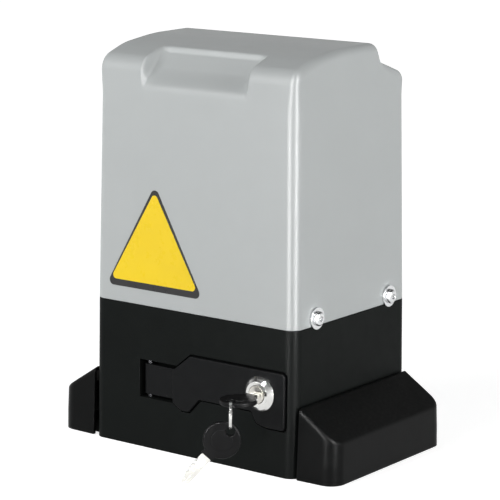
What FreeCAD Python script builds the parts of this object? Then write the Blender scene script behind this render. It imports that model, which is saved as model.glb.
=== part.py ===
import FreeCAD, Part
import math
import os

# Sliding gate motor. Millimetres, +X to the right of the front face, +Y towards the gate, +Z up.
# The origin is on the mounting surface, at the centre of the base.

# ---- body ----
body_width = 194.0
body_depth = 151.0
seam_z = 112.0
base_draft = 0.5
hood_draft = 0.9
corner_r = 9.0
base_wall = 4.0
base_floor = 5.0
hood_wall = 3.0
seam_gap = 0.3
part_gap = 0.3
fit_gap = 0.04

# ---- hood roof, heights above the mounting surface ----
crest_z = 314.2
front_top_z = 300.3
front_round = 14.0
front_slope_y = -46.0
front_slope_drop = 4.9
crest_start_y = -12.0
crest_start_drop = 0.6
crest_end_y = 34.6
shoulder_r = 6.0
shelf_start_y = 41.2
shelf_start_z = 299.4
shelf_start_r = 5.0
shelf_end_z = 288.9
back_round = 6.0
roof_edge_r = 4.5
roof_wall = 3.2

# ---- finger grip ----
grip_half = 50.0
grip_low_z = 281.0
grip_slope = 47.9
grip_run = 38.0
grip_drop = 4.5
grip_floor_half = 40.0
grip_floor_start = 9.0
grip_floor_end = 33.0
grip_draft = 1.0
grip_height = 24.0

# ---- rim, seal and side screws ----
lip_thickness = 2.5
lip_height = 8.0
seal_width = 2.0
seal_thickness = 1.2
side_screw_y = 48.0
side_screw_z = 118.0
side_thread_r = 2.5
side_screw_length = 14.0
washer_r = 8.3
washer_thickness = 1.4
head_r = 5.6
head_height = 3.4
side_socket = 4.0
socket_depth = 2.0
lug_half = 8.0
lug_depth = 9.0

# ---- feet ----
foot_ledge = 25.0
foot_reach = body_width / 2 + foot_ledge
foot_half_depth = body_depth / 2 - 9.5
foot_thickness = 9.0
slot_x = foot_reach - 12.0
slot_y = 44.0
slot_length = 22.0
slot_width = 9.0
level_y = 16.0
level_r = 4.0
level_length = 16.0
level_socket = 4.0

# ---- foot covers ----
cover_gap = 1.8
cover_overhang = 10.0
cover_reach = foot_reach + cover_overhang
cover_inner_top = 54.5
cover_fold_z = 32.5
cover_half_depth = body_depth / 2 - 1.0
cover_taper = 1.0
cover_draft = 1.0
cover_end_draft = 2.5
cover_wall = 2.6
cover_corner_r = 12.0
cover_edge_r = 3.4
cover_lift = 0.4
cover_rib_start = 6.0
cover_rib_width = 12.0
cover_rib_height = 5.0
cover_rib_hold = 10.0

# ---- release lever ----
lever_proud = 1.8
lever_thickness = 5.0
lever_gap = 1.3
lever_right = body_width / 2 - 8.5
lever_top = 79.4
lever_low = 36.2
arm_low = 46.9
lobe_left = -17.0
lobe_right = 8.8
lobe_low = 35.6
lobe_side_low = 40.8
lobe_side_high = 65.8
notch_x = lever_right - 30.5
lever_corner_r = 3.0
lever_edge_r = 0.8
tail_left = -48.5
tail_low = 42.5
tail_high = 66.0
tail_sink = 1.8
tail_thickness = 3.5
slot_left = -50.6
slot_low = 39.6
slot_high = 69.7
pin_r = 2.0
pin_length = 42.0
knuckle_r = 4.0
block_floor = 3.6

# ---- lock ----
lock_x = lever_right - 21.9
lock_z = 61.8
bezel_r = 13.25
bezel_rim = 1.2
bezel_height = 4.6
bezel_face_r = 9.6
barrel_r = 10.0
plug_r = 6.6
plug_proud = 0.5
nut_r = 12.5
nut_thickness = 3.5
cam_length = 19.0
cam_width = 8.0
cam_thickness = 2.5
window_left = lock_x - 21.1
window_right = lock_x + 15.4
window_half = 13.7

# ---- keys and ring ----
bow_r = 14.0
bow_thickness = 3.6
bow_disc_r = 8.0
bow_disc_rise = 0.5
bow_hole_r = 3.7
bow_hole_offset = 9.2
bow_stand_off = 21.6
blade_width = 8.0
blade_thickness = 2.0
blade_reach = 44.0
barrel_length = blade_reach - 25.0
blade_clear = 0.15
ring_inner_r = 9.2
ring_wire = 1.0
ring_turns_width = 2.0
ring_lean = 36.9
ring_gap = 0.35
ring_axis_offset = 5.5
spare_angle = 48.0
spare_hang = 1.4

# ---- drive ----
shaft_x = -4.0
shaft_z = 58.0
shaft_r = 10.0
shaft_front_y = -44.0
pinion_module = 4.0
pinion_teeth = 16
pinion_width = 22.0
pinion_gap = 5.0
key_size = 6.0
clip_thickness = 1.5
worm_module = 2.2
wheel_teeth = 30
wheel_width = 14.0
wheel_hub_r = 17.0
wheel_hub_width = 22.0
worm_pitch_r = 9.0
worm_shaft_r = 7.5
tooth_thickness = 2.6
bearing_outer_r = 21.0
bearing_width = 12.0
seal_ring_width = 7.0
rod_r = 4.0
rod_travel = 5.0
rod_length = 50.0

# ---- gearbox ----
box_front = -24.0
box_back = 24.0
box_low = 12.0
box_high = 104.0
box_wall = 6.0
box_corner_r = 6.0
cover_plate = 6.0
boss_r = 27.0

# ---- motor ----
motor_share = 0.35
motor_trim = 21.9
motor_wall = 3.0
motor_flange = 12.0
motor_length = 92.0
motor_cap = 12.0
stator_length = 60.0
stator_bore_share = 25.0 / 46.0
rotor_air_gap = 0.6
rib_count = 20

# ---- electrics ----
tray_z = 104.0
tray_sheet = 2.0
tray_side_room = 16.0
tray_motor_room = 18.0
post_inset_x = 12.0
post_nose_gap = 2.0
post_inset_y = 8.0
tray_half_depth = body_depth / 2 - 17.5
post_r = 5.0
board_inset = 3.0
board_thickness = 1.6
board_half_depth = tray_half_depth - 3.0
board_low = 112.0
board_height = 110.0
capacitor_r = tray_half_depth / 2 - 9.0
capacitor_height = 72.0
cable_side_room = 26.0
cable_y = 4.0
cable_hole_r = 11.0

V = FreeCAD.Vector
X, Y, Z = V(1, 0, 0), V(0, 1, 0), V(0, 0, 1)

# ---- sizes that follow from the ones above ----
wheel_r = wheel_teeth * worm_module / 2
worm_x = shaft_x + wheel_r + worm_pitch_r
box_left, box_right = shaft_x - wheel_r - 11.0, worm_x + 24.0
motor_r = body_width * motor_share - motor_trim
stator_inner_r = motor_r * stator_bore_share
rotor_r = stator_inner_r - rotor_air_gap
tray_left = tray_side_room - body_width / 2
tray_right = worm_x - motor_r - tray_motor_room
board_x = tray_left + board_inset
cable_x = cable_side_room - body_width / 2


def tan(degrees):
    return math.tan(math.radians(degrees))


def half_width(z):
    """Half the body's width at height z, with the draft of the base and of the hood."""
    return body_width / 2 - min(z, seam_z) * tan(base_draft) - max(z - seam_z, 0) * tan(hood_draft)


def half_depth(z):
    return half_width(z) - (body_width - body_depth) / 2


def block(x0, x1, y0, y1, z0, z1):
    return Part.makeBox(x1 - x0, y1 - y0, z1 - z0, V(x0, y0, z0))


def rod(r, length, base, axis=Z):
    return Part.makeCylinder(r, length, base, axis)


def ring(outer, inner, length, base, axis=Z):
    return rod(outer, length, base, axis).cut(rod(inner, length, base, axis))


def hexagon(across, length, base, axis):
    """A hexagonal prism, `across` from flat to flat."""
    r = across / math.sqrt(3)
    points = [V(r * math.cos(math.radians(60 * i)), r * math.sin(math.radians(60 * i)), 0) for i in range(7)]
    prism = Part.Face(Part.makePolygon(points)).extrude(V(0, 0, length))
    prism.Placement = FreeCAD.Placement(base, FreeCAD.Rotation(Z, axis))
    return prism


def outline(corners, place):
    """A closed wire through (a, b, radius) corners, each rounded by a tangent arc."""
    edges, points = [], []
    count = len(corners)
    for i, (a, b, r) in enumerate(corners):
        here = V(a, b, 0)
        before = V(corners[i - 1][0], corners[i - 1][1], 0) - here
        after = V(corners[(i + 1) % count][0], corners[(i + 1) % count][1], 0) - here
        if r == 0:
            points.append((here, here, here))
            continue
        before.normalize()
        after.normalize()
        half = before.getAngle(after) / 2
        reach = r / math.tan(half)
        middle = (before + after).normalize()
        centre = here + middle * (r / math.sin(half))
        points.append((here + before * reach, centre - middle * r, here + after * reach))
    for i, (start, mid, end) in enumerate(points):
        if (end - start).Length > 1e-6:
            edges.append(Part.Arc(place(start), place(mid), place(end)).toShape())
        following = points[(i + 1) % count][0]
        if (following - end).Length > 1e-6:
            edges.append(Part.LineSegment(place(end), place(following)).toShape())
    return Part.Wire(edges)


def plate(corners, place, direction):
    return Part.Face(outline(corners, place)).extrude(direction)


def rounded_rectangle(half_x, half_y, r, z):
    corners = [(-half_x, -half_y, r), (half_x, -half_y, r), (half_x, half_y, r), (-half_x, half_y, r)]
    return outline(corners, lambda p: V(p.x, p.y, z))


def tapered(inset, z0, z1, r):
    """The body's tapered block between two heights, drawn in by `inset` on every side."""
    low = rounded_rectangle(half_width(z0) - inset, half_depth(z0) - inset, r, z0)
    high = rounded_rectangle(half_width(z1) - inset, half_depth(z1) - inset, r, z1)
    return Part.makeLoft([low, high], True, True)


def fillet(shape, r, chosen):
    return shape.makeFillet(r, [e for e in shape.Edges if chosen(e)])


def ends(edge):
    return [v.Point for v in edge.Vertexes]


nodes = {}


def front_y(z):
    return -half_depth(z)


# ---------------------------------------------------------------- hood
def roof_block():
    """The hood's side profile, pushed through from side to side and trimmed to the drafted sides."""
    bottom = seam_z + seam_gap
    profile_corners = [
        (front_y(bottom), bottom, 0),
        (front_y(front_top_z), front_top_z, front_round),
        (front_slope_y, crest_z - front_slope_drop, 60),
        (crest_start_y, crest_z - crest_start_drop, 200),
        (crest_end_y, crest_z, shoulder_r),
        (shelf_start_y, shelf_start_z, shelf_start_r),
        (half_depth(shelf_end_z), shelf_end_z, back_round),
        (half_depth(bottom), bottom, 0),
    ]
    reach = body_width / 2 + 10
    slab = plate(profile_corners, lambda p: V(-reach, p.x, p.y), V(2 * reach, 0, 0))
    top = crest_z + 10
    wedge = [
        (-half_width(bottom), bottom, 0),
        (half_width(bottom), bottom, 0),
        (half_width(top), top, 0),
        (-half_width(top), top, 0),
    ]
    sides = plate(wedge, lambda p: V(p.x, -body_depth, p.y), V(0, 2 * body_depth, 0))
    solid = slab.common(sides)
    near_side = half_width(crest_z) - 2

    def on_side_loop(edge):
        both_low = all(abs(p.z - bottom) < 0.01 for p in ends(edge))
        return not both_low and all(abs(p.x) > near_side for p in ends(edge))

    solid = fillet(solid, roof_edge_r, on_side_loop)
    return solid.common(tapered(0, bottom, top, corner_r))


def grip_cutter(shift):
    """The finger grip: a mouth cut through the hood's front edge, with a shallow tapered floor behind it.

    `shift` moves it inwards and widens it, for the hood's inside."""
    slope = math.radians(grip_slope)
    along = V(0, math.cos(slope), math.sin(slope))
    outward = V(0, -math.sin(slope), math.cos(slope))
    low = V(0, front_y(grip_low_z), grip_low_z) - outward * shift

    def frame(half, start, end, height):
        corners = [V(-half, 0, 0) + along * start, V(half, 0, 0) + along * start]
        corners += [V(half, 0, 0) + along * end, V(-half, 0, 0) + along * end]
        corners = [low + outward * height + c for c in corners]
        return Part.makePolygon(corners + [corners[0]])

    floor = frame(grip_floor_half + shift, grip_floor_start - shift, grip_floor_end + shift, -grip_drop)
    mouth = frame(grip_half + shift, -shift, grip_run + shift, 0)
    top = frame(grip_half + shift + grip_draft, -shift, grip_run + shift, grip_height)
    return Part.makeLoft([floor, mouth], True, True).fuse(Part.makeLoft([mouth, top], True, True))


def hood_cavity():
    bottom = seam_z + seam_gap
    inside = tapered(hood_wall, bottom, crest_z + 10, corner_r - hood_wall)
    drop = roof_wall
    profile = [
        (-body_depth, bottom - 1, 0),
        (-body_depth, front_top_z - front_round - 4, 0),
        (front_y(front_top_z) + hood_wall, front_top_z - front_round - 4, 0),
        (front_slope_y - 8, crest_z - front_slope_drop - 3 - drop, 0),
        (crest_start_y, crest_z - crest_start_drop - 0.4 - drop, 0),
        (crest_end_y - 6, crest_z - 0.4 - drop, 0),
        (shelf_start_y - 4, shelf_start_z - drop, 0),
        (half_depth(shelf_end_z) - hood_wall, shelf_end_z - drop - 1, 0),
        (body_depth, shelf_end_z - drop - 1, 0),
        (body_depth, bottom - 1, 0),
    ]
    reach = body_width
    under = plate(profile, lambda p: V(-reach, p.x, p.y), V(2 * reach, 0, 0))
    return inside.common(under).cut(grip_cutter(hood_wall))


def make_hood():
    shell = roof_block().cut(grip_cutter(0)).cut(hood_cavity())
    slot_r = side_thread_r + 0.6
    for y in (-side_screw_y, side_screw_y):
        for side in (-1, 1):
            x0 = side * (half_width(seam_z) - hood_wall - 3)
            hole = rod(slot_r, hood_wall + 8, V(x0, y, side_screw_z), V(side, 0, 0))
            ends_x = sorted((x0, x0 + side * (hood_wall + 8)))
            mouth = block(ends_x[0], ends_x[1], y - slot_r, y + slot_r, seam_z - 1, side_screw_z)
            shell = shell.cut(hole.fuse(mouth))
    nodes["hood"] = shell


def make_decal():
    """A blank three-cornered sticker: a dark sheet with a paler field on it."""
    sheet, field_rise = 0.25, 0.12
    outer = [(-83.6, 124.4, 4), (10.2, 124.4, 4), (-36.4, 206.4, 4)]
    inner = [(-79.4, 129.6, 3), (5.6, 129.6, 3), (-36.6, 201.4, 3)]
    tilt = FreeCAD.Placement(V(0, front_y(seam_z), seam_z), FreeCAD.Rotation(X, -hood_draft))

    def lay(corners, thickness, lift):
        shape = plate(corners, lambda p: V(p.x, -lift, p.y - seam_z), V(0, -thickness, 0))
        shape.Placement = tilt
        return shape

    nodes["blank_decal"] = lay(outer, sheet, 0.0)
    nodes["decal_field"] = lay(inner, field_rise, sheet)


# ---------------------------------------------------------------- base
lip_inset = hood_wall + 0.5
block_back = front_y(shaft_z) + 3.9 + block_floor
lever_face_y = front_y(shaft_z) - lever_proud
lever_back_y = lever_face_y + lever_thickness
pin_x = tail_left + knuckle_r
tail_face_y = front_y(shaft_z) + tail_sink
pin_y = tail_face_y + knuckle_r
slot_floor_y = pin_y + knuckle_r + part_gap
rod_tip_y = lever_back_y + part_gap
block_low, block_high = 30.0, 86.0


def lever_outline(grow):
    """The lobe and arm seen from the front, grown outwards by `grow`."""
    g = grow
    r = lever_corner_r
    return [
        (lobe_left - g, lobe_side_low - 0.5 * g, 2),
        (lobe_left + 8 - 0.4 * g, lobe_low - g, 3),
        (lobe_left + 15.5 + 0.4 * g, lobe_low - g, 2),
        (lobe_right + 0.4 * g, arm_low - g, 1),
        (notch_x - 0.4 * g, arm_low - g, 3),
        (notch_x + 4.5 - 0.7 * g, lever_low + 2 - g, 6),
        (notch_x + 14, lever_low - g, 14),
        (lever_right + g, lever_low - g, r),
        (lever_right + g, lever_top + g, r + g),
        (lobe_left + 17 - 0.4 * g, lever_top + g, 1.5),
        (lobe_left - g, lobe_side_high + 0.4 * g, 2),
    ]


def front_prism(corners, y0, y1):
    return plate(corners, lambda p: V(p.x, y0, p.y), V(0, y1 - y0, 0))


def base_shell():
    shell = tapered(0, 0, seam_z, corner_r)
    shell = shell.cut(tapered(base_wall, base_floor, seam_z, corner_r - base_wall))
    lip_top = seam_z + lip_height
    lip_low = seam_z - 10
    lip = tapered(lip_inset, lip_low, lip_top, corner_r - lip_inset)
    lip = lip.cut(tapered(lip_inset + lip_thickness, lip_low, lip_top, corner_r - lip_inset - lip_thickness))
    shell = shell.fuse(lip)
    groove = tapered(lip_inset - seal_width, seam_z - seal_thickness, seam_z, corner_r - lip_inset + seal_width)
    groove = groove.cut(tapered(lip_inset, seam_z - seal_thickness, seam_z, corner_r - lip_inset))
    shell = shell.cut(groove)
    nodes["hood_seal"] = groove
    return shell


def side_lugs():
    """Lugs inside the rim that the hood's side screws thread into."""
    lugs, holes = None, None
    outer = half_width(side_screw_z) - lip_inset - 0.1
    for side in (-1, 1):
        for y in (-side_screw_y, side_screw_y):
            x0, x1 = sorted((side * outer, side * (outer - lug_depth)))
            lug = block(x0, x1, y - lug_half, y + lug_half, seam_z - 12, side_screw_z + lug_half)
            hole = rod(side_thread_r, lug_depth + 2, V(side * (outer + 1), y, side_screw_z), V(-side, 0, 0))
            lugs = lug if lugs is None else lugs.fuse(lug)
            holes = hole if holes is None else holes.fuse(hole)
    return lugs, holes


def foot_corner(edge, outer):
    at_outer = all(abs(p.x - outer) < 0.01 for p in ends(edge))
    return at_outer and ends(edge)[0].z != ends(edge)[1].z


def feet():
    shape = None
    for side in (-1, 1):
        inner, outer = side * (half_width(0) - base_wall), side * foot_reach
        x0, x1 = sorted((inner, outer))
        foot = block(x0, x1, -foot_half_depth, foot_half_depth, 0, foot_thickness)
        foot = fillet(foot, 6, lambda e: foot_corner(e, outer))
        run = (slot_length - slot_width) / 2
        for y in (-slot_y, slot_y):
            hole = block(side * slot_x - slot_width / 2, side * slot_x + slot_width / 2, y - run, y + run, 0, 20)
            for end_y in (y - run, y + run):
                hole = hole.fuse(rod(slot_width / 2, 20, V(side * slot_x, end_y, 0)))
            foot = foot.cut(hole)
        for y in (-level_y, level_y):
            foot = foot.cut(rod(level_r, 20, V(side * slot_x, y, 0)))
        shape = foot if shape is None else shape.fuse(foot)
    return shape


def make_base():
    shell = base_shell()
    lugs, lug_holes = side_lugs()
    shell = shell.fuse(lugs).fuse(feet())
    front = tapered(0.5, 0.5, seam_z - 0.5, corner_r)
    lever_block = block(slot_left - 5, lever_right + 6, -body_depth, block_back, block_low, block_high)
    tail_block = block(slot_left - 5, lobe_left + 9, -body_depth, slot_floor_y + block_floor, block_low, block_high)
    guide = rod(rod_r + 4, 16, V(shaft_x, block_back - 2, shaft_z), Y)
    strike = block(lock_x - 13, lock_x + 13, block_back - 1, lever_face_y + barrel_length - 0.6,
                   lock_z + window_half, lock_z + window_half + 7)
    shell = shell.fuse(lever_block.fuse(tail_block).common(front)).fuse(guide).fuse(strike)
    recess = front_prism(lever_outline(lever_gap), -body_depth, lever_back_y + 0.4)
    tail_slot = block(slot_left, lobe_left + 5, -body_depth, slot_floor_y, slot_low, slot_high)
    window = block(window_left, window_right, -body_depth, block_back + 5, lock_z - window_half, lock_z + window_half)
    pin_hole = rod(pin_r + fit_gap, pin_length, V(pin_x, pin_y, lever_mid_z - pin_length / 2))
    rod_hole = rod(rod_r + fit_gap, 40, V(shaft_x, lever_back_y - 2, shaft_z), Y)
    shell = shell.cut(recess).cut(tail_slot).cut(window).cut(pin_hole).cut(rod_hole).cut(lug_holes)
    shell = shell.cut(rod(shaft_r + 5, 20, V(shaft_x, half_depth(0) - 15, shaft_z), Y))
    shell = shell.cut(rod(cable_hole_r, base_floor + 2, V(cable_x, cable_y, -1)))
    for x, y in gearbox_feet:
        post = rod(7, box_low - base_floor + 0.5, V(x, y, base_floor - 0.5))
        shell = shell.fuse(post).cut(rod(2.5, box_low, V(x, y, 1.5)))
    for x, y in tray_posts:
        post = rod(post_r, tray_z - base_floor + 1, V(x, y, base_floor - 1))
        shell = shell.fuse(post).cut(rod(2, 15, V(x, y, tray_z - 14)))
    nodes["base_housing"] = shell


lever_mid_z = (slot_low + slot_high) / 2
gearbox_feet = [(box_left + 17, -10), (box_left + 17, 10), (worm_x - 27, 0)]
tray_posts = [
    (x, y)
    for x in (tray_left + post_inset_x, shaft_x - boss_r - post_r - post_nose_gap)
    for y in (-tray_half_depth + post_inset_y, tray_half_depth - post_inset_y)
]


def make_side_screws():
    screws, washers = [], []
    for side in (-1, 1):
        axis = V(side, 0, 0)
        x0 = half_width(seam_z) + part_gap
        for y in (-side_screw_y, side_screw_y):
            seat = V(side * x0, y, side_screw_z)
            washers.append(ring(washer_r, side_thread_r + 0.2, washer_thickness, seat, axis))
            head_base = seat + axis * washer_thickness
            head = rod(head_r, head_height, head_base, axis)
            outer_x = side * (x0 + washer_thickness + head_height)
            head = fillet(head, head_height * 0.72, lambda e: all(abs(p.x - outer_x) < 0.01 for p in ends(e)))
            shank = rod(side_thread_r - fit_gap, side_screw_length, head_base, axis * -1)
            socket = hexagon(side_socket, socket_depth + 1, head_base + axis * (head_height - socket_depth), axis)
            screws.append(head.fuse(shank).cut(socket))
    nodes["hood_screws"] = Part.makeCompound(screws)
    nodes["hood_washers"] = Part.makeCompound(washers)


def make_levelling_screws():
    screws = []
    for side in (-1, 1):
        for y in (-level_y, level_y):
            screw = rod(level_r - fit_gap, level_length, V(side * slot_x, y, 0.5))
            screws.append(screw.cut(hexagon(level_socket, 6, V(side * slot_x, y, level_length - 4), Z)))
    nodes["levelling_screws"] = Part.makeCompound(screws)


# ---------------------------------------------------------------- foot covers
def cover_solid(inset, low):
    """The right foot cover's block, drawn in by `inset`."""
    inner_x = half_width(0) + cover_gap
    slope = math.atan2(cover_inner_top - cover_fold_z, cover_reach - inner_x)
    top_in = cover_inner_top - inset / math.cos(slope)
    fold_x = cover_reach - inset
    fold_z = top_in - (fold_x - inner_x) * math.tan(slope)
    bottom_x = fold_x + fold_z * tan(cover_draft)
    profile = [(inner_x, low, 0), (bottom_x, low, 0), (fold_x, fold_z, 0), (inner_x, top_in, 0)]
    solid = plate(profile, lambda p: V(p.x, -body_depth, p.y), V(0, 2 * body_depth, 0))
    span = bottom_x - inner_x
    near, far = cover_half_depth - inset, cover_half_depth - cover_taper - inset
    plan = [(inner_x, -near, 0), (inner_x + span, -far, 0), (inner_x + span, far, 0), (inner_x, near, 0)]
    trim = plate(plan, lambda p: V(p.x, p.y, low - 1), V(0, 0, cover_inner_top + 20))
    shrink = (cover_inner_top - low) * tan(cover_end_draft)
    lean = [(-near, low, 0), (near, low, 0), (near - shrink, cover_inner_top, 0),
            (shrink - near, cover_inner_top, 0)]
    leaning_ends = plate(lean, lambda p: V(0, p.x, p.y), V(2 * cover_reach, 0, 0))
    solid = solid.common(trim).common(leaning_ends)

    def outer_upright(edge):
        return all(p.x > fold_x - 1 for p in ends(edge)) and abs(ends(edge)[0].z - ends(edge)[1].z) > 15

    return fillet(solid, cover_corner_r - inset, outer_upright), inner_x


def make_foot_covers():
    solid, inner_x = cover_solid(0, cover_lift)
    low_z = cover_lift + 0.01

    def upper(edge):
        on_floor = all(p.z < low_z for p in ends(edge))
        on_inner = all(p.x < inner_x + 0.01 for p in ends(edge))
        upright = any(p.z < low_z for p in ends(edge))
        return not (on_floor or on_inner or upright)

    solid = fillet(solid, cover_edge_r, upper)
    hollow, _ = cover_solid(cover_wall, cover_lift - 1)
    right = solid.cut(hollow)
    rib_low = foot_thickness + part_gap
    for side in (-1, 1):
        y0, y1 = sorted((side * (foot_half_depth - cover_rib_hold), side * body_depth))
        rib = block(inner_x + cover_rib_start, inner_x + cover_rib_start + cover_rib_width, y0, y1,
                    rib_low, rib_low + cover_rib_height)
        right = right.fuse(rib.common(solid))
    left = right.mirror(V(0, 0, 0), X)
    nodes["foot_cover_right"] = right
    nodes["foot_cover_left"] = left


# ---------------------------------------------------------------- lever and lock
def make_lever():
    face = front_prism(lever_outline(0), lever_face_y, lever_back_y)
    face = fillet(face, lever_edge_r, lambda e: all(abs(p.y - lever_face_y) < 0.01 for p in ends(e)))
    tail_back = tail_face_y + tail_thickness
    tail = block(pin_x, lobe_left + 3, tail_face_y, tail_back, tail_low, tail_high)
    knuckle = rod(knuckle_r, tail_high - tail_low, V(pin_x, pin_y, tail_low))
    knuckle = knuckle.cut(rod(pin_r + fit_gap, tail_high, V(pin_x, pin_y, 0)))
    lever = face.fuse(tail).fuse(knuckle).cut(rod(pin_r + fit_gap, tail_high, V(pin_x, pin_y, 0)))
    bore = rod(barrel_r + fit_gap, 30, V(lock_x, lever_face_y - 10, lock_z), Y)
    nodes["release_lever"] = lever.cut(bore).removeSplitter()
    nodes["lever_pin"] = rod(pin_r, pin_length, V(pin_x, pin_y, lever_mid_z - pin_length / 2))


def make_lock():
    face_y = lever_face_y

    def profile(points):
        wire = Part.makePolygon([V(lock_x + r, face_y + y, lock_z) for r, y in points + [points[0]]])
        return Part.Face(wire).revolve(V(lock_x, 0, lock_z), Y, 360)

    bore = plug_r + fit_gap
    bezel_back = -part_gap / 3
    nodes["lock_barrel"] = profile([
        (bore, barrel_length), (barrel_r, barrel_length), (barrel_r, bezel_back), (bezel_r, bezel_back),
        (bezel_r, -bezel_rim), (bezel_r - 1.2, -bezel_rim - 1.4), (bezel_face_r, -bezel_height),
        (bore + 0.6, -bezel_height), (bore, -bezel_height + 0.6),
    ])
    plug_front = face_y - bezel_height - plug_proud
    plug_end = face_y + barrel_length + 0.2
    plug = rod(plug_r, plug_end - plug_front, V(lock_x, plug_front, lock_z), Y)
    keyway_x, keyway_z = blade_width / 2 + blade_clear, blade_thickness / 2 + blade_clear
    keyway = block(lock_x - keyway_x, lock_x + keyway_x, plug_front - 1, plug_end - 1.5,
                   lock_z - keyway_z, lock_z + keyway_z)
    nodes["lock_plug"] = plug.cut(keyway)
    nodes["lock_nut"] = ring(nut_r, barrel_r + fit_gap, nut_thickness, V(lock_x, lever_back_y, lock_z), Y)
    cam = block(lock_x - cam_length, lock_x, plug_end, plug_end + cam_thickness,
                lock_z - cam_width / 2, lock_z + cam_width / 2)
    cam = cam.fuse(rod(plug_r, cam_thickness, V(lock_x, plug_end, lock_z), Y))
    nodes["lock_cam"] = cam.cut(rod(2 + fit_gap, 9, V(lock_x, plug_end - 1, lock_z), Y))
    screw = rod(3.5, 2.4, V(lock_x, plug_end + cam_thickness, lock_z), Y)
    screw = screw.fuse(rod(2, cam_thickness, V(lock_x, plug_end, lock_z), Y))
    nodes["lock_cam_screw"] = screw.cut(hexagon(2.5, 3, V(lock_x, plug_end + cam_thickness + 1.2, lock_z), Y))


def key_pair():
    """A flat key along -Y from its bow, with its bow's centre at the origin and its blade towards +Y."""
    bow = rod(bow_r, bow_thickness, V(0, 0, -bow_thickness / 2))
    bow = fillet(bow, 0.9, lambda e: abs(abs(ends(e)[0].z) - bow_thickness / 2) < 0.01)
    bow = bow.fuse(rod(bow_disc_r, bow_thickness + 2 * bow_disc_rise, V(0, 0, -bow_thickness / 2 - bow_disc_rise)))
    bow = bow.cut(rod(bow_hole_r, 20, V(0, -bow_hole_offset, -10)))
    neck = block(-blade_width / 2 - 1, blade_width / 2 + 1, 0, bow_r + 2.5, -bow_thickness / 2, bow_thickness / 2)
    bow = bow.fuse(neck)
    half, t = blade_width / 2, blade_thickness / 2
    tip = [(-half, 4, 0), (half, 4, 0), (half, blade_reach - 9, 0), (half - 2.2, blade_reach - 5.5, 0),
           (1.0, blade_reach, 0), (-1.0, blade_reach, 0), (-half, blade_reach - 4, 0)]
    blade = plate(tip, lambda p: V(p.x, p.y, -t), V(0, 0, 2 * t))
    for y, depth in ((23, 1.0), (26.5, 1.7), (30, 0.8), (33.5, 1.4)):
        cut_x = half - depth
        blade = blade.cut(block(cut_x, half + 1, y - 0.9, y + 0.9, -5, 5))
    groove = block(-0.9, 0.4, bow_r + 4, blade_reach + 1, t - 0.5, t + 1)
    groove = groove.fuse(groove.mirror(V(0, 0, 0), Z))
    blade = blade.cut(groove)
    bow = bow.cut(blade.common(bow))
    return bow, blade


lock_face = lever_face_y - bezel_height - plug_proud
bow_y = lock_face - bow_stand_off


def make_keys():
    bow, blade = key_pair()
    spot = FreeCAD.Placement(V(lock_x, bow_y, lock_z), FreeCAD.Rotation())
    for name, shape in (("key_bow", bow), ("key_blade", blade)):
        copy = shape.copy()
        copy.Placement = spot
        nodes[name] = copy
    lean = math.radians(ring_lean)
    radial = V(math.sin(lean), -math.cos(lean), 0)
    across = V(math.cos(lean), math.sin(lean), 0)
    hole = V(lock_x, bow_y - bow_hole_offset, lock_z)
    top_z = lock_z + bow_thickness / 2
    ring_centre = hole + radial * ring_axis_offset
    ring_centre.z = top_z + ring_gap - ring_inner_r
    base = ring_centre - across * (ring_turns_width / 2)
    loop = ring(ring_inner_r + ring_wire, ring_inner_r, ring_turns_width, base, across)
    seam = ring(ring_inner_r + ring_wire + 1, ring_inner_r + ring_wire - 0.18, 0.2,
                ring_centre - across * 0.1, across)
    nodes["key_ring"] = loop.cut(seam)
    wire = ring_centre - Z * (ring_inner_r + ring_wire / 2)
    angle = math.radians(spare_angle)
    toward_hole = across * math.cos(angle) + Z * math.sin(angle)
    spare_hole = wire - Z * (bow_hole_r - spare_hang)
    spare_centre = spare_hole - toward_hole * bow_hole_offset
    side = radial.cross(toward_hole)
    turn = FreeCAD.Matrix(side.x, -toward_hole.x, radial.x, spare_centre.x,
                          side.y, -toward_hole.y, radial.y, spare_centre.y,
                          side.z, -toward_hole.z, radial.z, spare_centre.z, 0, 0, 0, 1)
    for name, shape in (("spare_key_bow", bow), ("spare_key_blade", blade)):
        copy = shape.copy()
        copy.Placement = FreeCAD.Placement(turn)
        nodes[name] = copy
    edge = hole + radial * (bow_hole_r + 0.65)
    print("ring pivot", [round(c, 3) for c in edge], "ring axis", [round(c, 4) for c in across])
    print("spare pivot", [round(c, 3) for c in wire], "spare axis", [round(c, 4) for c in radial])


# ---------------------------------------------------------------- drive
def gear_outline(teeth, module, thickness, tip, root, lead_angle=0.0):
    """Points round a spur gear, each tooth a trapezium with four corners."""
    pitch = teeth * module / 2
    points = []
    half = thickness / pitch / 2
    slope = tan(20)
    for i in range(teeth):
        centre = 2 * math.pi * i / teeth + lead_angle
        for r, sign in ((pitch - root, -1), (pitch + tip, -1), (pitch + tip, 1), (pitch - root, 1)):
            angle = centre + sign * (half - (r - pitch) * slope / r)
            points.append((r * math.cos(angle), r * math.sin(angle)))
    return points


def gear(points, y, length, x, z):
    wire = Part.makePolygon([V(x + a, y, z + b) for a, b in points + [points[0]]])
    return Part.Face(wire).extrude(V(0, length, 0))


pitch_length = math.pi * worm_module
shaft_end = half_depth(0) + pinion_gap + pinion_width + 4


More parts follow.
